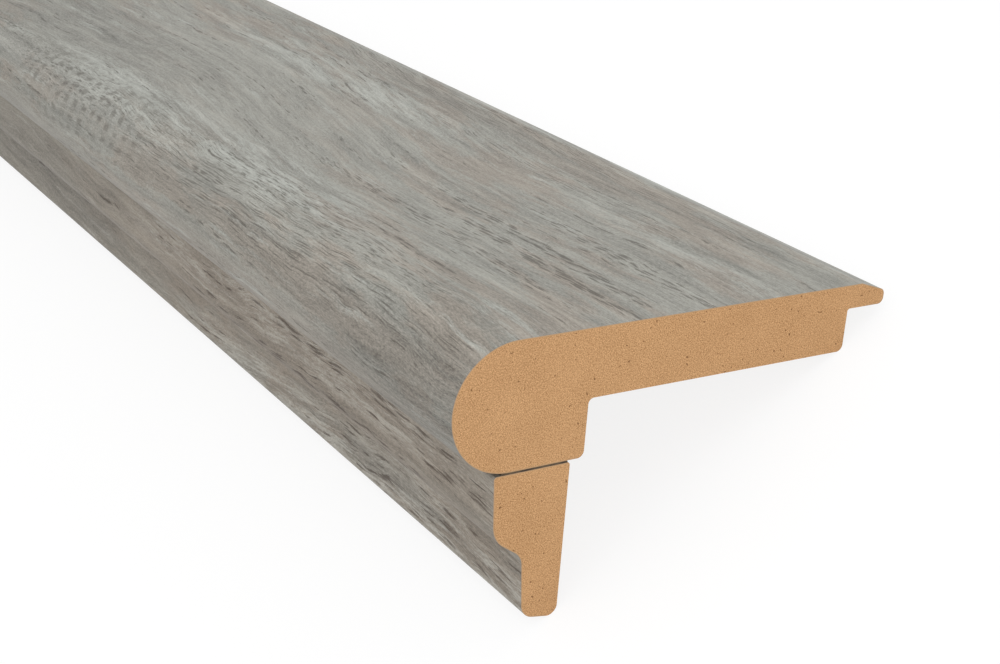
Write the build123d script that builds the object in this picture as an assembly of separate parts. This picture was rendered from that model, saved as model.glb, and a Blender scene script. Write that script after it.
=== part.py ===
"""Two-piece stair nosing: a bullnose nosing with a trim strip below it, both foil-wrapped MDF.

Sizes are in millimetres. The section is drawn in its laid position: u runs rearward from the
front of the bullnose, v runs up from the top of the deck. The stock is then leaned about its
length to the position in which it lies unheld: on the toe of the trim and the deck's rear edge.
"""

from build123d import *
import os
from math import asin, atan2, cos, degrees, hypot, pi, sin, tan

# Stock length: 47 1/4 in, enough for one tread
LENGTH = 1200.0
FOIL = 0.15

# Nosing
WIDTH = 70.0
NOSE_HEIGHT = 18.1
NOSE_DEPTH = 20.4
DECK_THICKNESS = 9.8
LIP_THICKNESS = 3.5
LIP_REACH = 6.5
BEVEL_RUN = 4.4
BEVEL_DROP = 1.45
LIP_FOIL_RETURN = 3.0
HEEL_RADIUS = 1.0
RECESS_RADIUS = 0.8
DECK_EDGE_RADIUS = 1.0
STEP_RADIUS = 0.4
TIP_RADIUS = 0.9

# Trim
GLUE_LINE = 0.3
TRIM_SETBACK = 6.8
TRIM_BACK_SETBACK = 2.05
TRIM_HEIGHT = 22.7
TOE_RISE = 1.0
OGEE_TOP = 9.2
OGEE_BOTTOM = 12.4
UPPER_FRONT_LEAN = 0.6
OGEE_RUN = 4.6
LOWER_FRONT_LEAN = 0.75
TRIM_ARRIS_RADIUS = 0.4
OGEE_CONVEX_RADIUS = 4.1
OGEE_CONCAVE_RADIUS = 2.7
TOE_FRONT_RADIUS = 2.3
TOE_BACK_RADIUS = 1.45


def nosing_corners():
    """Corners (u, v, radius) of the nosing, anticlockwise from the heel's foot."""
    rear = WIDTH - LIP_REACH
    return [
        (NOSE_DEPTH, -NOSE_HEIGHT, HEEL_RADIUS),
        (NOSE_DEPTH, -DECK_THICKNESS, RECESS_RADIUS),
        (rear, -DECK_THICKNESS, DECK_EDGE_RADIUS),
        (rear, -LIP_THICKNESS, STEP_RADIUS),
        (WIDTH, -LIP_THICKNESS, TIP_RADIUS),
        (WIDTH, -BEVEL_DROP, TIP_RADIUS),
        (WIDTH - BEVEL_RUN, 0.0, TIP_RADIUS),
        (0.0, 0.0, NOSE_HEIGHT / 2),
        (0.0, -NOSE_HEIGHT, NOSE_HEIGHT / 2),
    ]


def trim_corners():
    """Corners (u, v, radius) of the trim, anticlockwise from its top rear edge."""
    top = -NOSE_HEIGHT - GLUE_LINE
    back = NOSE_DEPTH - TRIM_BACK_SETBACK
    foot = top - TRIM_HEIGHT
    ledge = TRIM_SETBACK + UPPER_FRONT_LEAN + OGEE_RUN
    return [
        (back, top, TRIM_ARRIS_RADIUS),
        (TRIM_SETBACK, top, TRIM_ARRIS_RADIUS),
        (TRIM_SETBACK + UPPER_FRONT_LEAN, top - OGEE_TOP, OGEE_CONVEX_RADIUS),
        (ledge, top - OGEE_BOTTOM, OGEE_CONCAVE_RADIUS),
        (ledge + LOWER_FRONT_LEAN, foot + TOE_RISE, TOE_FRONT_RADIUS),
        (back, foot, TOE_BACK_RADIUS),
    ]


def between(start, end, distance):
    """The point at a distance from start towards end."""
    share = distance / hypot(end[0] - start[0], end[1] - start[1])
    return start[0] + share * (end[0] - start[0]), start[1] + share * (end[1] - start[1])


def turn(before, corner, after):
    """The angle by which a path turns at a corner, positive to the left."""
    heading_in = atan2(corner[1] - before[1], corner[0] - before[0])
    heading_out = atan2(after[1] - corner[1], after[0] - corner[0])
    return (heading_out - heading_in + pi) % (2 * pi) - pi


def fillet_of(before, corner, after):
    """Start, middle, end and centre of the arc that rounds a corner."""
    radius = corner[2]
    half = abs(turn(before, corner, after)) / 2
    start = between(corner, before, radius * tan(half))
    end = between(corner, after, radius * tan(half))
    chord_middle = ((start[0] + end[0]) / 2, (start[1] + end[1]) / 2)
    centre = between(corner, chord_middle, radius / cos(half))
    middle = between(corner, chord_middle, radius / cos(half) - radius)
    return start, middle, end, centre


def rounded_edges(corners, closed=False):
    """Edges of a path through corners, each corner rounded by its radius."""
    count = len(corners)
    inner = range(count) if closed else range(1, count - 1)
    arcs = [fillet_of(corners[i - 1], corners[i], corners[(i + 1) % count])[:3] for i in inner]
    stops = [] if closed else [(corners[0][:2],) * 3]
    stops += arcs
    stops += [arcs[0]] if closed else [(corners[-1][:2],) * 3]
    edges = []
    for (_, _, leave), (arrive, middle, end) in zip(stops, stops[1:]):
        if hypot(arrive[0] - leave[0], arrive[1] - leave[1]) > 1e-6:
            edges.append(Line(leave, arrive))
        if arrive != end:
            edges.append(ThreePointArc(arrive, middle, end))
    return edges


def inset(path, depth):
    """An open anticlockwise path moved into the body by a depth, its radii kept concentric."""
    moved = []
    for i, corner in enumerate(path):
        before, after = path[max(i - 1, 0)], path[min(i + 1, len(path) - 1)]
        heading = atan2(after[1] - corner[1], after[0] - corner[0])
        bend = 0.0
        if i == len(path) - 1:
            heading = atan2(corner[1] - before[1], corner[0] - before[0])
        elif i > 0:
            bend = turn(before, corner, after)
        reach = depth / cos(bend / 2)
        inward = heading - bend / 2 + pi / 2
        radius = corner[2] - depth if bend > 0 else corner[2] + depth
        moved.append((corner[0] + reach * cos(inward), corner[1] + reach * sin(inward), radius))
    return moved


def bar(edges):
    """A closed outline of the section as a solid of the stock's length."""
    face = Plane.XZ * Face(Wire(edges))
    return extrude(face, LENGTH / 2, both=True)


def wrapped(corners, path):
    """Core and foil of a section whose outline is foiled along an open path."""
    inner = inset(path, FOIL)
    seams = [Line(inner[0][:2], path[0][:2]), Line(path[-1][:2], inner[-1][:2])]
    foil = bar(rounded_edges(path) + rounded_edges(inner) + seams)
    return bar(rounded_edges(corners, closed=True)) - foil, foil


def nosing():
    """The foil runs from under the lip, over the deck and the bullnose, to the heel."""
    corners = nosing_corners()
    lip_end = (WIDTH - LIP_FOIL_RETURN, -LIP_THICKNESS, 0.0)
    heel_end = (NOSE_DEPTH - HEEL_RADIUS, -NOSE_HEIGHT, 0.0)
    return wrapped(corners, [lip_end, *corners[4:], heel_end])


def trim():
    """The foil runs from the glued top, down the stepped front, to the middle of the toe."""
    corners = trim_corners()
    top_end = (corners[0][0] - TRIM_ARRIS_RADIUS, corners[0][1], 0.0)
    toe_end = fillet_of(corners[4], corners[5], corners[0])[0]
    return wrapped(corners, [top_end, *corners[1:5], (*toe_end, 0.0)])


def rest_lean():
    """The lean, in degrees, of the floor that touches the trim's toe and the deck's rear edge."""
    trim_outline, nosing_outline = trim_corners(), nosing_corners()
    toe = fillet_of(trim_outline[4], trim_outline[5], trim_outline[0])[3]
    edge = fillet_of(*nosing_outline[1:4])[3]
    run, rise = edge[0] - toe[0], edge[1] - toe[1]
    return degrees(atan2(rise, run) - asin((DECK_EDGE_RADIUS - TOE_BACK_RADIUS) / hypot(run, rise)))


def pieces():
    """Every piece by its node name, lying on the floor with the stock centred over the origin."""
    nosing_core, nosing_foil = nosing()
    trim_core, trim_foil = trim()
    leaned = {
        "nosing_core": nosing_core,
        "nosing_foil": nosing_foil,
        "trim_core": trim_core,
        "trim_foil": trim_foil,
    }
    leaned = {name: Rot(0, rest_lean(), 0) * piece for name, piece in leaned.items()}
    box = Compound(list(leaned.values())).bounding_box()
    home = Pos(-box.center().X, 0, -box.min.Z)
    return {name: home * piece for name, piece in leaned.items()}


def main():
    os.makedirs("parts", exist_ok=True)
    for name, piece in pieces().items():
        export_step(piece, f"parts/{name}.step")


if __name__ == "__main__":
    main()
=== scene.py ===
"""Looks of the two-piece stair nosing: raw fibreboard cores and a printed grey oak foil.

The section is drawn in millimetres in its laid position, u rearward from the front of the
bullnose and v up from the top of the deck. w points out of the stock's near end, where it is zero.
"""

from itertools import product
from math import asin, atan2, ceil, cos, hypot, pi, radians, sin, tan

import bmesh
import bpy
from mathutils import Matrix, Vector

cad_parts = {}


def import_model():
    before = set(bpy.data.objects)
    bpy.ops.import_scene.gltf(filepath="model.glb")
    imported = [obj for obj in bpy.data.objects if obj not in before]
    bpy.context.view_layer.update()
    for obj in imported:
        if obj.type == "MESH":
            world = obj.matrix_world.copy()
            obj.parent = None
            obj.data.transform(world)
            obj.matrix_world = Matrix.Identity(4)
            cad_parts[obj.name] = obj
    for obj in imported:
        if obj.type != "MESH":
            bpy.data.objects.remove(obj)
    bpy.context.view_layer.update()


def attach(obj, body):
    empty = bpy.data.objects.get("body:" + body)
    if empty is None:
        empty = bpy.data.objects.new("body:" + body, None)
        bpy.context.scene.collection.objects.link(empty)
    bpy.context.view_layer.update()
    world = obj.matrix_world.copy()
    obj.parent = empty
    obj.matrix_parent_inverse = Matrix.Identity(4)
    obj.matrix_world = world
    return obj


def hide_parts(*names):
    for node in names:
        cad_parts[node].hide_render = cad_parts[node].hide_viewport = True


MM = 0.001
ARC_STEP = radians(3.0)
ARC_LEAST_STEPS = 3
SAME_POINT = 1e-6
SHARP_ANGLE = radians(20.0)

# Stock and foil, in millimetres
LENGTH = 1200.0
FOIL = 0.15

# Nosing
WIDTH = 70.0
NOSE_HEIGHT = 18.1
NOSE_DEPTH = 20.4
DECK_THICKNESS = 9.8
LIP_THICKNESS = 3.5
LIP_REACH = 6.5
BEVEL_RUN = 4.4
BEVEL_DROP = 1.45
LIP_FOIL_RETURN = 3.0
HEEL_RADIUS = 1.0
RECESS_RADIUS = 0.8
DECK_EDGE_RADIUS = 1.0
STEP_RADIUS = 0.4
TIP_RADIUS = 0.9

# Trim, and the glue between it and the nosing
GLUE_LINE = 0.3
GLUE_CLEARANCE = 0.01
GLUE_FRONT = 7.8
TRIM_SETBACK = 6.8
TRIM_BACK_SETBACK = 2.05
TRIM_HEIGHT = 22.7
TOE_RISE = 1.0
OGEE_TOP = 9.2
OGEE_BOTTOM = 12.4
UPPER_FRONT_LEAN = 0.6
OGEE_RUN = 4.6
LOWER_FRONT_LEAN = 0.75
TRIM_ARRIS_RADIUS = 0.4
OGEE_CONVEX_RADIUS = 4.1
OGEE_CONCAVE_RADIUS = 2.7
TOE_FRONT_RADIUS = 2.3
TOE_BACK_RADIUS = 1.45

# Bake maps: where they cut the stock, in millimetres from its near end, and shares of their square
RAW_CUTS = (0.0, 300.0, 600.0, 900.0, LENGTH)
NOSING_PRINT_CUTS = (0.0, 350.0, LENGTH)
TRIM_PRINT_CUTS = (0.0, 250.0, 600.0, LENGTH)
CORE_ENDS_SHARE = 0.45
FOIL_ENDS_SHARE = 0.03
GLUE_ENDS_SHARE = 0.2
HIDDEN_SHARE = 0.04
BAKE_GAP = 0.003

# Display colours, from 0 to 255
BOARD_TONES = {"dark": (120, 76, 30), "light": (243, 195, 144), "bark": (104, 70, 40)}
GLUE_TONES = {"dark": (58, 48, 38), "light": (92, 78, 60)}
FOIL_EDGE_TONE = (184, 146, 106)
NOSING_TONES = {
    "cool": (146, 145, 138),
    "warm": (147, 141, 132),
    "pale": (164, 166, 160),
    "pore": (80, 75, 68),
}
TRIM_TONES = {
    "cool": (139, 134, 125),
    "warm": (139, 130, 119),
    "pale": (163, 160, 152),
    "pore": (58, 42, 32),
}

# How far apart in a noise the seeds lie
SEED_STEPS = (3.7, 1.3, 7.1)

# Noises of the fibreboard: size in millimetres, detail, seed and roughness
BOARD_NOISES = {
    "grain": ((0.16, 0.16, 0.16), 1.0, 3.0, 0.6),
    "cloud": ((7.0, 7.0, 7.0), 3.0, 5.0, 0.5),
    "speck": ((0.45, 0.45, 0.45), 0.0, 9.0, 0.5),
    "cut": ((140.0, 0.5), 2.0, 6.0, 0.5),
}
BOARD_SWINGS = {"grain": 1.3, "cloud": 0.15, "cut": 1.0}
SPECK_STEP = (0.8, 0.85, 0.0, 0.75)

# Cutter marks show where a face looks less along the stock than this, from none to all of them
CUT_FACING = (0.8, 0.2)
CUT_SHARE = 0.4

# Noise of the glue: size in millimetres, detail and seed
GLUE_NOISE = ((4.0, 0.8), 3.0, 8.0)
GLUE_STEP = (0.35, 0.65)

# Noises of the prints: size along and across in millimetres, detail, seed and roughness
PRINT_NOISES = {
    "swing": ((130.0, 50.0), 1.0, 0, 0.5),
    "ripple": ((17.0, 9.0), 2.0, 1, 0.5),
    "streaks": ((32.0, 3.0), 5.0, 2, 0.92),
    "fibre": ((0.8, 0.2), 2.0, 3, 0.9),
    "tint": ((36.0, 7.0), 4.0, 4, 0.7),
    "wisp": ((30.0, 1.9), 3.0, 5, 0.6),
    "row": ((50.0, 1.2), 1.0, 6, 0.5),
    "wobble": ((26.0, 10.0), 1.0, 9, 0.5),
    "ragged": ((12.0, 5.0), 2.0, 10, 0.5),
    "bands": ((130.0, 2.2), 2.0, 11, 0.5),
    "thread": ((13.0, 0.5), 2.0, 12, 0.8),
}

# How far the noises swing: grain lines in millimetres, tones as shares, saw marks in radians
PRINT_SWINGS = {
    "swing": 12.0,
    "ripple": 2.0,
    "streaks": 1.25,
    "fibre": 1.2,
    "thread": 0.5,
    "fray": 0.9,
    "wobble": 11.0,
    "ragged": 9.0,
    "gloss": 0.2,
}

# Smooth steps that the prints' noises go through: from, to, and the result at either end
PRINT_STEPS = {
    "warmth": (0.42, 0.6, 0.0, 1.0),
    "wisp": (0.56, 0.74, 0.0, 0.75),
    "wash": (0.42, 0.6, 0.1, 0.9),
    "row": (0.59, 0.76, 0.0, 0.8),
    "split": (0.64, 0.74, 0.0, 0.6),
    "dash": (-0.02, 0.2, 0.0, 1.0),
    "crowd": (0.05, 0.3, 0.0, 1.0),
    "tooth": (-0.3, 0.8, 0.0, 1.0),
    "torn": (0.3, 0.5, 0.0, 1.0),
    "arc": (0.2, -1.0, 0.0, 0.16),
}

# The tone: how much the long bands lighten it, and its level
BANDS_SHARE = 0.4
PRINT_LEVEL = 0.97

# The foil's surface: roughness, depth of the bumps in millimetres and specular level
PRINT_ROUGHNESS = 0.5
PRINT_DEPTH = 0.05
PRINT_SPECULAR = 0.07

# Dashes: spacing along and across in millimetres, and how much wider apart the cracks are
NOSING_DASH = (4.6, 0.62)
TRIM_DASH = (8.0, 0.8)
CRACK_SPREAD = (2.4, 0.62)
PORE_SEED = 7
CRACK_SEED = 8

# How far dashes grow where they are most crowded, and how much finer than them they are frayed
DASH_REACH = 0.5
FRAY_FINENESS = (3, 7)
FRAY_DETAIL = 2.0
FRAY_ROUGHNESS = 0.7
FRAY_SEED = 20

# How dark the pores and cracks are printed, and the saw marks beside them
NOSING_INK = 0.62
TRIM_INK = 0.68
TOOTH_SHARE = 0.65

# The nosing's grain drifts by this many millimetres round the outline. The drift sets in and
# fades out between these places along the stock, and grows from the bullnose to the lip.
NOSING_BEND = 22.0
TRIM_BEND = 0.0
BEND_ALONG = (45.0, 210.0)
UNBEND_ALONG = (700.0, 260.0)
BEND_ACROSS = (76.0, -4.0)

# Saw marks: distance along and across, in millimetres
SAW_PITCH = 4.2
SAW_LANE = 2.1

# Soft ellipses of the prints (along, across, half length, half width, strength), in millimetres
# from the near end and round the outline from the foil's first edge. They are mirrored at every
# repeat of the length, and fade in between the edge's shares of their reach. The shade ellipses
# are painted shade that darkens the print, among them the shadow under the nose on the trim's top.
PRINT_REPEAT = 300.0
ELLIPSE_EDGE = (1.1, 0.4)
NOSING_SPOTS = {
    "rows": [
        (20, 35.5, 36, 2.2, 0.8),
        (30, 43.5, 44, 1.8, 0.9),
        (25, 47.5, 40, 1.6, 1.0),
        (45, 53, 55, 2.0, 0.7),
        (55, 66, 60, 5.0, 0.6),
        (150, 72, 40, 5.0, 0.5),
    ],
    "cracks": [
        (60, 73, 80, 6.0, 0.6),
        (110, 69, 60, 5.0, 0.45),
        (60, 22, 60, 3.0, 0.5),
        (90, 12, 130, 4.5, 0.55),
    ],
    "warm": [
        (105, 13, 60, 4.0, 0.5),
        (58, 17, 26, 3.0, 0.8),
        (112, 40, 30, 9.0, 0.5),
        (40, 77, 60, 4.0, 0.9),
        (140, 76, 50, 3.0, 0.5),
        (60, 88, 110, 9.0, 0.9),
        (170, 84, 70, 6.0, 0.4),
    ],
    "cool": [(140, 52, 90, 30.0, 0.8)],
    # painted shade: darker patches, the strongest on the bullnose's front at the near end
    "painted_shade": [
        (0, 85, 45, 24.0, 0.25),
        (110, 76, 150, 5.0, 0.15),
        (205, 58, 75, 26.0, 0.15),
        (100, 16, 180, 5.0, 0.1),
    ],
    "pale": [
        (40, 7, 180, 3.2, 0.9),
        (75, 64, 40, 8.0, 0.85),
        (125, 66, 55, 8.0, 0.8),
        (130, 25, 60, 9.0, 0.7),
        (20, 25, 30, 4.0, 0.5),
    ],
    "sawn": [(138, 73, 44, 10.0, 1.0), (162, 52, 26, 16.0, 0.3)],
}
TRIM_SPOTS = {
    "rows": [
        (40, 12.8, 60, 1.4, 0.75),
        (8, 16.4, 26, 1.5, 0.7),
        (52, 20.0, 46, 2.0, 0.75),
        (58, 23.4, 50, 3.0, 0.7),
        (25, 28.2, 46, 1.0, 0.65),
        (32, 30.4, 48, 1.0, 0.65),
        (35, 32.6, 50, 1.0, 0.6),
    ],
    "cracks": [(45, 13, 60, 2.0, 0.4), (52, 21.5, 56, 5.0, 0.4), (30, 30, 60, 4.0, 0.3)],
    "warm": [(60, 15, 100, 7.0, 1.0), (70, 22, 110, 7.0, 0.9), (150, 20, 80, 14.0, 0.8)],
    "cool": [(230, 20, 120, 30.0, 0.9)],
    # painted shade: the first patch is the shadow under the nose along the trim's top
    "painted_shade": [(60, 0, 220, 7.0, 0.25), (200, 26, 85, 13.0, 0.22), (60, 21, 80, 5.0, 0.11)],
    "pale": [(30, 33, 120, 6.0, 0.9), (60, 14.5, 80, 4.0, 0.6), (20, 26, 30, 3.0, 0.5)],
    "sawn": [(240, 20, 30, 6.0, 0.6)],
}

# Each print's seed, and what else it is made of
NOSING_PRINT = 1.0, NOSING_TONES, NOSING_DASH, NOSING_BEND, NOSING_INK, NOSING_SPOTS
TRIM_PRINT = 5.0, TRIM_TONES, TRIM_DASH, TRIM_BEND, TRIM_INK, TRIM_SPOTS

# The camera in the section's coordinates, as fitted to the photograph
CAMERA_AT = (-103.87, 79.53, 167.31)
CAMERA_RIGHT = (0.84837029, 0.06989909, 0.5247685)
CAMERA_DOWN = (-0.13621686, -0.9290495, 0.34396511)
CAMERA_FORWARD = (0.51157876, -0.36329209, -0.77865656)
CAMERA_LENS = 63.665
SENSOR_WIDTH = 36.0
CLIP_START = 0.01

# Studio: name, place, aim, size in metres and power in watts of each lamp
LAMPS = (
    ("overhead", (0.7, -0.7, 1.7), (0.0, -0.3, 0.0), (2.2, 2.4), 8.5),
    ("side", (-1.6, -0.3, 0.75), (0.0, -0.2, 0.0), (1.2, 2.4), 4.0),
    ("front", (-0.05, -1.25, 0.3), (0.0, -0.6, 0.0), (0.5, 0.5), 1.9),
    ("back", (-0.05, 1.25, 0.3), (0.0, 0.6, 0.0), (0.5, 0.5), 1.9),
)
WORLD_LIGHT = 0.71
FLOOR_REACH = 6.0
FLOOR_TONE = 0.6
FLOOR_GLOW = 0.72
FLOOR_GLOW_STRENGTH = 1.17


def nosing_corners():
    """Corners (u, v, radius) of the nosing, anticlockwise from the heel's foot."""
    rear = WIDTH - LIP_REACH
    return [
        (NOSE_DEPTH, -NOSE_HEIGHT, HEEL_RADIUS),
        (NOSE_DEPTH, -DECK_THICKNESS, RECESS_RADIUS),
        (rear, -DECK_THICKNESS, DECK_EDGE_RADIUS),
        (rear, -LIP_THICKNESS, STEP_RADIUS),
        (WIDTH, -LIP_THICKNESS, TIP_RADIUS),
        (WIDTH, -BEVEL_DROP, TIP_RADIUS),
        (WIDTH - BEVEL_RUN, 0.0, TIP_RADIUS),
        (0.0, 0.0, NOSE_HEIGHT / 2),
        (0.0, -NOSE_HEIGHT, NOSE_HEIGHT / 2),
    ]


def trim_corners():
    """Corners (u, v, radius) of the trim, anticlockwise from its top rear edge."""
    top = -NOSE_HEIGHT - GLUE_LINE
    back = NOSE_DEPTH - TRIM_BACK_SETBACK
    foot = top - TRIM_HEIGHT
    ledge = TRIM_SETBACK + UPPER_FRONT_LEAN + OGEE_RUN
    return [
        (back, top, TRIM_ARRIS_RADIUS),
        (TRIM_SETBACK, top, TRIM_ARRIS_RADIUS),
        (TRIM_SETBACK + UPPER_FRONT_LEAN, top - OGEE_TOP, OGEE_CONVEX_RADIUS),
        (ledge, top - OGEE_BOTTOM, OGEE_CONCAVE_RADIUS),
        (ledge + LOWER_FRONT_LEAN, foot + TOE_RISE, TOE_FRONT_RADIUS),
        (back, foot, TOE_BACK_RADIUS),
    ]


def glue_corners():
    """Corners (u, v, radius) of the glue film between the heel and the trim's top."""
    low = -NOSE_HEIGHT - GLUE_LINE + GLUE_CLEARANCE
    high = -NOSE_HEIGHT - GLUE_CLEARANCE
    radius = (high - low) / 3
    front, back = GLUE_FRONT, NOSE_DEPTH - TRIM_BACK_SETBACK - TRIM_ARRIS_RADIUS
    return [(back, low, radius), (back, high, radius), (front, high, radius), (front, low, radius)]


def fillet(before, corner, after):
    """Centre, start angle and signed sweep of the arc that rounds a corner."""
    heading_in = atan2(corner[1] - before[1], corner[0] - before[0])
    heading_out = atan2(after[1] - corner[1], after[0] - corner[0])
    turn = (heading_out - heading_in + pi) % (2 * pi) - pi
    side = 1 if turn > 0 else -1
    radius = corner[2]
    back = radius * tan(abs(turn) / 2)
    start_u = corner[0] - back * cos(heading_in)
    start_v = corner[1] - back * sin(heading_in)
    inward = heading_in + side * pi / 2
    centre = (start_u + radius * cos(inward), start_v + radius * sin(inward))
    return centre, inward + pi, turn


def rounded(corners, closed=False):
    """Outline points (u, v) and outward normals through corners rounded by their radii."""
    count = len(corners)
    points = []
    for i, corner in enumerate(corners):
        if not closed and i in (0, count - 1):
            other = corners[1] if i == 0 else corners[-2]
            heading = atan2(other[1] - corner[1], other[0] - corner[0]) + (0 if i == 0 else pi)
            normal = heading - pi / 2
            points.append((corner[0], corner[1], cos(normal), sin(normal)))
            continue
        centre, angle, turn = fillet(corners[i - 1], corner, corners[(i + 1) % count])
        radius = corner[2]
        side = 1 if turn > 0 else -1
        steps = max(ARC_LEAST_STEPS, ceil(abs(turn) / ARC_STEP))
        for k in range(steps + 1):
            a = angle + turn * k / steps
            point = (centre[0] + radius * cos(a), centre[1] + radius * sin(a))
            normal = (side * cos(a), side * sin(a))
            if points and hypot(point[0] - points[-1][0], point[1] - points[-1][1]) < SAME_POINT:
                continue
            points.append((*point, *normal))
    return points


def inset(points, depth):
    """Outline points moved against their normals."""
    return [(u - depth * nu, v - depth * nv, nu, nv) for u, v, nu, nv in points]


def foil_paths():
    """The open corner paths that the nosing's and the trim's foils follow."""
    nosing, trim = nosing_corners(), trim_corners()
    lip_end = (WIDTH - LIP_FOIL_RETURN, -LIP_THICKNESS, 0.0)
    heel_end = (NOSE_DEPTH - HEEL_RADIUS, -NOSE_HEIGHT, 0.0)
    top_end = (trim[0][0] - TRIM_ARRIS_RADIUS, trim[0][1], 0.0)
    (u, v), angle, _ = fillet(trim[4], trim[5], trim[0])
    toe_end = (u + TOE_BACK_RADIUS * cos(angle), v + TOE_BACK_RADIUS * sin(angle), 0.0)
    return [lip_end, *nosing[4:], heel_end], [top_end, *trim[1:5], toe_end]


def rest_lean():
    """The lean, in radians, at which the stock lies on the trim's toe and the deck's rear edge."""
    nosing, trim = nosing_corners(), trim_corners()
    toe = fillet(trim[4], trim[5], trim[0])[0]
    edge = fillet(*nosing[1:4])[0]
    run, rise = edge[0] - toe[0], edge[1] - toe[1]
    return atan2(rise, run) - asin((DECK_EDGE_RADIUS - TOE_BACK_RADIUS) / hypot(run, rise))


LEAN = rest_lean()


def lean(u, v):
    """A section direction as the row frame's x and z."""
    return u * cos(LEAN) + v * sin(LEAN), v * cos(LEAN) - u * sin(LEAN)


EXTENT = [lean(u, v) for c in (nosing_corners(), trim_corners()) for u, v, _, _ in rounded(c, True)]
SHIFT_X = -(min(x for x, _ in EXTENT) + max(x for x, _ in EXTENT)) / 2
SHIFT_Z = -min(z for _, z in EXTENT)


def place(u, v, w):
    """A point of the stock in the row frame, in metres."""
    x, z = lean(u, v)
    return Vector((x + SHIFT_X, -w - LENGTH / 2, z + SHIFT_Z)) * MM


def direction(u, v, w):
    """A direction of the section and the stock in the row frame."""
    x, z = lean(u, v)
    return Vector((x, -w, z))


def distances_round(outline):
    """How far round a closed outline each point lies, with the whole way round last."""
    found = [0.0]
    for a, b in zip(outline, outline[1:] + outline[:1]):
        found.append(found[-1] + hypot(b[0] - a[0], b[1] - a[1]))
    return found


def side_cells(run, cuts, shown, ends_share):
    """The corners on the bake map of each side face, by its stretch of the length and its segment.

    The end faces have the foot of the map. The hidden segments' band lies over it, and the shown
    segments' one has the rest. Each band has a row for each stretch of the length.
    """
    hidden = [i for i in range(len(run) - 1) if i not in shown]
    shown_from = ends_share + HIDDEN_SHARE
    stretches = len(cuts) - 1
    left, right = BAKE_GAP, 1.0 - BAKE_GAP
    cells = {}
    for segments, low, high in ((hidden, ends_share, shown_from), (shown, shown_from, 1.0)):
        row = (high - low) / stretches
        total = sum(run[i + 1] - run[i] for i in segments)
        for k in range(stretches):
            bottom = low + k * row + BAKE_GAP
            for i in segments:
                top = bottom + (row - 2 * BAKE_GAP) * (run[i + 1] - run[i]) / total
                cells[k, i] = (left, bottom), (left, top), (right, top), (right, bottom)
                bottom = top
    return cells


def end_cells(outline, low, high):
    """Each point of an end face in a band of the bake map, the face's longer way along it."""
    ways = [[point[axis] for point in outline] for axis in (0, 1)]
    ways.sort(key=lambda way: min(way) - max(way))
    far, near = ([(value - min(way)) / (max(way) - min(way)) for value in way] for way in ways)
    width, height = 1.0 - 2 * BAKE_GAP, high - low - 2 * BAKE_GAP
    return [(BAKE_GAP + x * width, low + BAKE_GAP + y * height) for x, y in zip(far, near)]


def piece_of(shape, name, materials):
    """A piece made of a bmesh, smooth but for its sharp edges."""
    shape.normal_update()
    for edge in shape.edges:
        edge.smooth = edge.calc_face_angle(0.0) < SHARP_ANGLE
    mesh = bpy.data.meshes.new(name)
    shape.to_mesh(mesh)
    shape.free()
    for material in materials:
        mesh.materials.append(material)
    piece = bpy.data.objects.new(name, mesh)
    bpy.context.collection.objects.link(piece)
    weigh = piece.modifiers.new("weigh", "WEIGHTED_NORMAL")
    weigh.keep_sharp = True
    return piece


def stock(name, outline, materials, skin=0, shown=None, ends_share=GLUE_ENDS_SHARE, cuts=RAW_CUTS):
    """A length of stock with a closed anticlockwise outline of (u, v, normal u, normal v) points.

    The faces between its first `skin` points carry the first material, and the others the last.
    The UV map `Unrolled` holds metres along the stock and metres round the outline. On the UV map
    `OFBake`, which cuts the stock at `cuts`, the end faces have `ends_share` of the square and the
    `shown` segments of the outline nearly all the rest.
    """
    count = len(outline)
    run = distances_round(outline)
    cells = side_cells(run, cuts, shown or range(count), ends_share)
    shape = bmesh.new()
    maps = [shape.loops.layers.uv.new(title) for title in ("Unrolled", "OFBake")]
    rings = [[shape.verts.new(place(u, v, -cut)) for u, v, _, _ in outline] for cut in cuts]

    def add_face(corners, material, *places):
        face = shape.faces.new(corners)
        face.material_index = material
        for layer, spots in zip(maps, places):
            for loop, spot in zip(face.loops, spots):
                loop[layer].uv = spot
        return face

    last = len(materials) - 1
    for k, i in product(range(len(cuts) - 1), range(count)):
        j = (i + 1) % count
        corners = rings[k][i], rings[k][j], rings[k + 1][j], rings[k + 1][i]
        near, far = cuts[k] * MM, cuts[k + 1] * MM
        low, high = run[i] * MM, run[i + 1] * MM
        unrolled = (near, low), (near, high), (far, high), (far, low)
        face = add_face(corners, 0 if i < skin - 1 else last, unrolled, cells[k, i])
        face.smooth = True
    middle = ends_share / 2
    ends = (rings[0], 0.0, middle, -1), (rings[-1], middle, ends_share, 1)
    for ring, low, high, step in ends:
        corners = ring[::step]
        unrolled = [corner.co.xz for corner in corners]
        add_face(corners, last, unrolled, end_cells(outline, low, high)[::step])
    return piece_of(shape, name, materials)


def wrapped(corners, path, names, board, foil_materials, cuts):
    """A fibreboard core and its foil, which follows an open path of the corners' outline."""
    skin = rounded(path)
    back = inset(skin, FOIL)
    raw = rounded([path[-1], *corners, path[0]])
    under = len(back) - 1
    bare = range(under, len(back + raw))
    core = stock(names[0], back + raw, [board], 0, bare, CORE_ENDS_SHARE)
    outline = skin + back[::-1]
    foil = stock(names[1], outline, foil_materials, len(skin), range(under), FOIL_ENDS_SHARE, cuts)
    return core, foil


def tone(red, green, blue):
    """A linear colour from 0 to 255 display values."""
    values = (v / 255 for v in (red, green, blue))
    return [v / 12.92 if v <= 0.04045 else ((v + 0.055) / 1.055) ** 2.4 for v in values] + [1.0]


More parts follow.
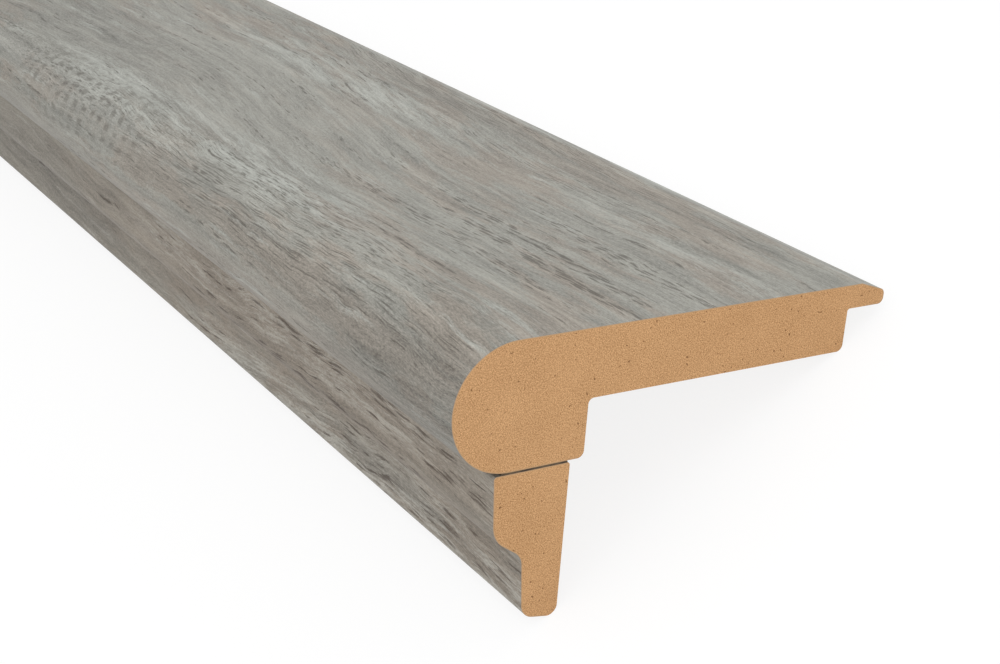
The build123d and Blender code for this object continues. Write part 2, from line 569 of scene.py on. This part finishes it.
class Shader:
    """A node material that is built by calls, each giving the socket of its result."""

    def __init__(self, name):
        self.material = bpy.data.materials.new(name)
        self.material.use_nodes = True
        self.nodes = self.material.node_tree.nodes
        self.links = self.material.node_tree.links
        self.surface = self.nodes["Principled BSDF"]

    def feed(self, socket, value):
        """Links a socket to another one, or sets it to a constant."""
        if isinstance(value, bpy.types.NodeSocket):
            self.links.new(value, socket)
        else:
            socket.default_value = value

    def node(self, kind, inputs=(), **settings):
        """A node with its inputs by name or number, and its settings."""
        made = self.nodes.new("ShaderNode" + kind)
        for key, value in settings.items():
            setattr(made, key, value)
        for key, value in dict(inputs).items():
            self.feed(made.inputs[key], value)
        return made

    def maths(self, operation, *values):
        """The result of a Math node."""
        return self.node("Math", enumerate(values), operation=operation).outputs[0]

    def vector(self, operation, *values):
        """The result of a Vector Math node."""
        return self.node("VectorMath", enumerate(values), operation=operation).outputs[0]

    def unrolled(self):
        """Millimetres along the stock and round its outline."""
        uv = self.node("UVMap", uv_map="Unrolled").outputs[0]
        return self.vector("MULTIPLY", uv, (1 / MM, 1 / MM, 0.0))

    def noise(self, at, size, detail=1.0, seed=0.0, roughness=0.5):
        """Noise around 0.5, flat or solid, whose blobs are about `size` millimetres each way."""
        scale = [1.0 / v for v in size] + [1.0] * (3 - len(size))
        at = self.vector("MULTIPLY_ADD", at, scale, [seed * step for step in SEED_STEPS])
        inputs = {"Vector": at, "Scale": 1.0, "Detail": detail, "Roughness": roughness}
        return self.node("TexNoise", inputs, noise_dimensions=f"{len(size)}D").outputs[0]

    def spread(self, noise, amount):
        """Noise around 0.5 as a swing around zero."""
        return self.maths("MULTIPLY_ADD", noise, amount, -amount / 2)

    def rise(self, value, low, high, bottom=0.0, top=1.0):
        """A smooth step from bottom to top as a value goes from low to high."""
        inputs = {"Value": value, 1: low, 2: high, 3: bottom, 4: top}
        return self.node("MapRange", inputs, interpolation_type="SMOOTHSTEP").outputs[0]

    def mix(self, share, a, b):
        """Colour a with a share of colour b."""
        return self.node("Mix", {0: share, 6: a, 7: b}, data_type="RGBA").outputs[2]

    def scaled(self, colour, factor):
        """A colour made lighter or darker."""
        return self.node("VectorMath", {0: colour, "Scale": factor}, operation="SCALE").outputs[0]

    def finish(self, colour, roughness, height=None, depth=0.0, specular=0.5):
        """The material, with bumps `depth` millimetres deep where there is a height."""
        self.feed(self.surface.inputs["Base Color"], colour)
        self.feed(self.surface.inputs["Roughness"], roughness)
        self.surface.inputs["Specular IOR Level"].default_value = specular
        if height is not None:
            bump = self.node("Bump", {"Height": height, "Distance": depth * MM, "Strength": 1.0})
            self.feed(self.surface.inputs["Normal"], bump.outputs[0])
        return self.material


class OakPrint(Shader):
    """A printed grey oak: wavy streaks, rows of dark dashes, cracks, tinted patches, saw marks, and
    patches of painted shade.

    `dash` is the spacing of the dashes along and across. The marks and patches lie in the soft
    ellipses of `spots`, and some of them also where noise puts them.
    """

    def __init__(self, name, seed, tones, dash, bend, ink, spots):
        super().__init__(name)
        self.seed, self.dash, self.ink, self.spots = seed, dash, ink, spots
        self.tones = {key: tone(*values) for key, values in tones.items()}
        self.at = self.unrolled()
        self.along, across, _ = self.node("SeparateXYZ", {0: self.at}).outputs
        folded = {"X": self.maths("PINGPONG", self.along, PRINT_REPEAT), "Y": across}
        self.spot_at = self.node("CombineXYZ", folded).outputs[0]
        self.flow = self.grain_lines(across, bend)
        self.streaks, self.tint = (self.grain(kind, self.flow) for kind in ("streaks", "tint"))

    def grain(self, kind, at):
        """One of the print's noises."""
        size, detail, seed, roughness = PRINT_NOISES[kind]
        return self.noise(at, size, detail, self.seed + seed, roughness)

    def swing(self, kind, noise):
        """One of the print's noises as a swing around zero."""
        return self.spread(noise, PRINT_SWINGS[kind])

    def step(self, kind, value):
        """One of the print's smooth steps."""
        return self.rise(value, *PRINT_STEPS[kind])

    def grain_lines(self, across, bend):
        """Places whose second coordinate stays the same along a wavy grain line."""
        swing, ripple = (self.swing(kind, self.grain(kind, self.at)) for kind in ("swing", "ripple"))
        turned = self.rise(across, *BEND_ACROSS, 0.0, bend)
        turned = self.maths("MULTIPLY", turned, self.rise(self.along, *UNBEND_ALONG))
        climb = self.maths("ADD", swing, ripple)
        climb = self.maths("MULTIPLY_ADD", self.rise(self.along, *BEND_ALONG), turned, climb)
        return self.vector("ADD", self.at, self.node("CombineXYZ", {"Y": climb}).outputs[0])

    def patches(self, kind):
        """Highest of the soft ellipses of a kind."""
        highest = None
        for along, across, half_length, half_width, strength in self.spots[kind]:
            scale = (1.0 / half_length, 1.0 / half_width, 0.0)
            shift = (-along / half_length, -across / half_width, 0.0)
            offset = self.vector("MULTIPLY_ADD", self.spot_at, scale, shift)
            reach = self.node("VectorMath", {0: offset}, operation="LENGTH").outputs["Value"]
            patch = self.rise(reach, *ELLIPSE_EDGE, 0.0, strength)
            highest = patch if highest is None else self.maths("MAXIMUM", highest, patch)
        return highest

    def dashes(self, spacing, crowd, seed):
        """Scattered frayed dashes, `spacing` millimetres apart, that grow where it is crowded."""
        seed += self.seed
        scale = [1.0 / v for v in spacing] + [1.0]
        cell_at = self.vector("MULTIPLY_ADD", self.flow, scale, (seed * SEED_STEPS[0], seed, 0.0))
        inputs = {"Vector": cell_at, "Scale": 1.0}
        distance = self.node("TexVoronoi", inputs, voronoi_dimensions="2D").outputs[0]
        frays = [apart / times for apart, times in zip(spacing, FRAY_FINENESS)]
        fray = self.noise(self.flow, frays, FRAY_DETAIL, seed + FRAY_SEED, FRAY_ROUGHNESS)
        inside = self.maths("MULTIPLY_ADD", crowd, DASH_REACH, self.swing("fray", fray))
        inside = self.maths("SUBTRACT", inside, distance)
        return self.maths("MULTIPLY", self.step("dash", inside), self.step("crowd", crowd))

    def ground(self, fibre):
        """The print's colour: cool or warm, with pale wisps, streaks and fibres, darkened by patches
        of painted shade.
        """
        warmth = self.maths("MAXIMUM", self.step("warmth", self.tint), self.patches("warm"))
        warmth = self.maths("SUBTRACT", warmth, self.patches("cool"))
        colour = self.mix(warmth, self.tones["cool"], self.tones["warm"])
        wisp = self.step("wisp", self.grain("wisp", self.flow))
        wash = self.maths("MAXIMUM", wisp, self.patches("pale"))
        wash = self.maths("MULTIPLY", wash, self.step("wash", self.streaks))
        colour = self.mix(wash, colour, self.tones["pale"])
        thread, bands = (self.grain(kind, self.flow) for kind in ("thread", "bands"))
        value = self.maths("ADD", self.swing("streaks", self.streaks), self.swing("fibre", fibre))
        value = self.maths("ADD", value, self.swing("thread", thread))
        value = self.maths("MULTIPLY_ADD", bands, BANDS_SHARE, value)
        # painted shade darkens the print within its patches
        value = self.maths("SUBTRACT", value, self.patches("painted_shade"))
        return self.scaled(colour, self.maths("ADD", value, PRINT_LEVEL))

    def pores(self):
        """Rows of dark dashes, and longer cracks."""
        row, split = self.step("row", self.grain("row", self.flow)), self.step("split", self.tint)
        pore_crowd = self.maths("MAXIMUM", row, self.patches("rows"))
        crack_crowd = self.maths("MAXIMUM", split, self.patches("cracks"))
        apart = [spacing * times for spacing, times in zip(self.dash, CRACK_SPREAD)]
        pore = self.dashes(self.dash, pore_crowd, PORE_SEED)
        return self.maths("MAXIMUM", pore, self.dashes(apart, crack_crowd, CRACK_SEED))

    def saw_marks(self):
        """How much the saw's dark dots and the pale arcs between them show."""
        wobble, ragged = (self.grain(kind, self.at) for kind in ("wobble", "ragged"))
        turns = self.swing("wobble", wobble)
        saw = self.maths("SINE", self.maths("MULTIPLY_ADD", self.along, 2 * pi / SAW_PITCH, turns))
        lane = self.node("SeparateXYZ", {0: self.flow}).outputs[1]
        lane = self.maths("MULTIPLY_ADD", lane, 2 * pi / SAW_LANE, self.swing("ragged", ragged))
        stripe = self.step("tooth", self.maths("SINE", lane))
        stripe = self.maths("MULTIPLY", stripe, self.step("torn", ragged))
        marked = self.patches("sawn")
        tooth = self.maths("MULTIPLY", self.step("tooth", saw), stripe)
        tooth = self.maths("MULTIPLY", tooth, marked)
        arc = self.maths("MULTIPLY", self.step("arc", saw), marked)
        return self.maths("MULTIPLY", tooth, TOOTH_SHARE), arc

    def print_over(self):
        """The finished material: the ground, its dark marks and its sheen."""
        fibre = self.grain("fibre", self.flow)
        tooth, arc = self.saw_marks()
        colour = self.mix(arc, self.ground(fibre), self.tones["pale"])
        dark = self.maths("MAXIMUM", self.pores(), tooth)
        colour = self.mix(self.maths("MULTIPLY", dark, self.ink), colour, self.tones["pore"])
        roughness = self.maths("ADD", self.swing("gloss", fibre), PRINT_ROUGHNESS)
        return self.finish(colour, roughness, self.streaks, PRINT_DEPTH, PRINT_SPECULAR)


def glue():
    """Dried glue in smears of dark and lighter brown-grey."""
    shader = Shader("glue")
    smear = shader.noise(shader.unrolled(), *GLUE_NOISE)
    dark, light = (tone(*GLUE_TONES[key]) for key in ("dark", "light"))
    colour = shader.mix(shader.rise(smear, *GLUE_STEP), dark, light)
    return shader.finish(colour, roughness=0.6, height=smear, depth=0.02, specular=0.3)


def fibreboard():
    """Pressed wood fibre: fine flecks, a few specks of bark and lengthwise cutter marks."""
    shader = Shader("fibreboard")
    dark, light, bark = (tone(*BOARD_TONES[key]) for key in ("dark", "light", "bark"))
    at = shader.vector("MULTIPLY", shader.node("TexCoord").outputs["Object"], (1 / MM,) * 3)
    grain, cloud, speck = (shader.noise(at, *BOARD_NOISES[key]) for key in ("grain", "cloud", "speck"))
    cut = shader.noise(shader.unrolled(), *BOARD_NOISES["cut"])
    normal = shader.node("NewGeometry").outputs["Normal"]
    facing = shader.maths("ABSOLUTE", shader.node("SeparateXYZ", {0: normal}).outputs[1])
    cut = shader.spread(cut, BOARD_SWINGS["cut"])
    cut = shader.maths("MULTIPLY", cut, shader.rise(facing, *CUT_FACING))
    clouds = shader.spread(cloud, BOARD_SWINGS["cloud"])
    flecks = shader.maths("ADD", clouds, shader.spread(grain, BOARD_SWINGS["grain"]))
    value = shader.maths("ADD", shader.maths("MULTIPLY_ADD", cut, CUT_SHARE, flecks), 0.5)
    body = shader.mix(value, dark, light)
    body = shader.mix(shader.rise(speck, *SPECK_STEP), body, bark)
    height = shader.maths("ADD", grain, cut)
    return shader.finish(body, roughness=0.85, height=height, depth=0.04, specular=0.15)


def foil_edge():
    """The foil's cut edges and its glued side."""
    return Shader("foil_edge").finish(tone(*FOIL_EDGE_TONE), roughness=0.7)


def look_from_photo():
    """The camera that the photograph was taken with, in the row frame."""
    data = bpy.data.cameras.new("camera")
    data.lens = CAMERA_LENS
    data.sensor_width = SENSOR_WIDTH
    data.clip_start = CLIP_START
    camera = bpy.data.objects.new("camera", data)
    columns = [direction(*CAMERA_RIGHT), -direction(*CAMERA_DOWN), -direction(*CAMERA_FORWARD)]
    turn = Matrix(columns).transposed().to_4x4()
    camera.matrix_world = Matrix.Translation(place(*CAMERA_AT)) @ turn
    bpy.context.collection.objects.link(camera)
    bpy.context.scene.camera = camera


def softbox(name, at, towards, size, power):
    """A rectangular lamp that no view shows."""
    data = bpy.data.lights.new(name, "AREA")
    data.shape = "RECTANGLE"
    data.size, data.size_y = size
    data.energy = power
    lamp = bpy.data.objects.new(name, data)
    lamp.location = at
    lamp.visible_camera = False
    lamp.rotation_euler = (Vector(towards) - Vector(at)).to_track_quat("-Z", "Y").to_euler()
    bpy.context.collection.objects.link(lamp)


def floor_material():
    """A white floor that keeps part of the shadow that the camera sees."""
    shader = Shader("floor")
    shader.finish((FLOOR_TONE, FLOOR_TONE, FLOOR_TONE, 1.0), roughness=1.0, specular=0.0)
    glow = shader.node("Emission", {"Strength": FLOOR_GLOW_STRENGTH}).outputs[0]
    seen = shader.node("LightPath").outputs
    either = shader.maths("MAXIMUM", seen["Is Camera Ray"], seen["Is Glossy Ray"])
    share = shader.maths("MULTIPLY", either, FLOOR_GLOW)
    matt = shader.surface.outputs[0]
    blend = shader.node("MixShader", {0: share, 1: matt, 2: glow}).outputs[0]
    shader.feed(shader.nodes["Material Output"].inputs["Surface"], blend)
    return shader.material


def surround():
    """A world that lights the stock gently and looks white."""
    world = bpy.data.worlds.new("surround")
    world.use_nodes = True
    nodes, links = world.node_tree.nodes, world.node_tree.links
    seen = nodes.new("ShaderNodeLightPath")
    strength = nodes.new("ShaderNodeMapRange")
    strength.inputs["To Min"].default_value = WORLD_LIGHT
    strength.inputs["To Max"].default_value = 1.0
    links.new(seen.outputs["Is Camera Ray"], strength.inputs["Value"])
    links.new(strength.outputs[0], nodes["Background"].inputs["Strength"])
    nodes["Background"].inputs["Color"].default_value = (1.0, 1.0, 1.0, 1.0)
    bpy.context.scene.world = world


def studio():
    """A pale floor, a white surround and soft lamps."""
    floor_mesh = bpy.data.meshes.new("floor")
    sides = ((-1, -1), (1, -1), (1, 1), (-1, 1))
    corners = [(x * FLOOR_REACH, y * FLOOR_REACH, 0.0) for x, y in sides]
    floor_mesh.from_pydata(corners, [], [(0, 1, 2, 3)])
    floor_mesh.materials.append(floor_material())
    floor = bpy.data.objects.new("floor", floor_mesh)
    bpy.context.collection.objects.link(floor)
    surround()
    for lamp in LAMPS:
        softbox(*lamp)


def nosing_pieces():
    """Both strips, each a core and a foil in place of its CAD node, and the glue between them."""
    board, edge = fibreboard(), foil_edge()
    nosing_print = OakPrint("nosing_print", *NOSING_PRINT)
    trim_print = OakPrint("trim_print", *TRIM_PRINT)
    nosing_path, trim_path = foil_paths()
    nosing, trim = nosing_corners(), trim_corners()
    strips = (
        ("nosing", nosing[:4], nosing_path, nosing_print, NOSING_PRINT_CUTS),
        ("trim", trim[5:] + trim[:1], trim_path, trim_print, TRIM_PRINT_CUTS),
    )
    for kind, corners, path, decor, cuts in strips:
        names = f"{kind}_fibreboard", f"{kind}_decor"
        pieces = wrapped(corners, path, names, board, [decor.print_over(), edge], cuts)
        for piece, node in zip(pieces, (f"{kind}_core", f"{kind}_foil")):
            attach(piece, "root")
            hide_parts(node)
    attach(stock("glue_line", rounded(glue_corners(), closed=True), [glue()]), "root")


def main():
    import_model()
    nosing_pieces()
    studio()
    look_from_photo()
    bpy.context.scene.view_settings.view_transform = "Standard"


main()
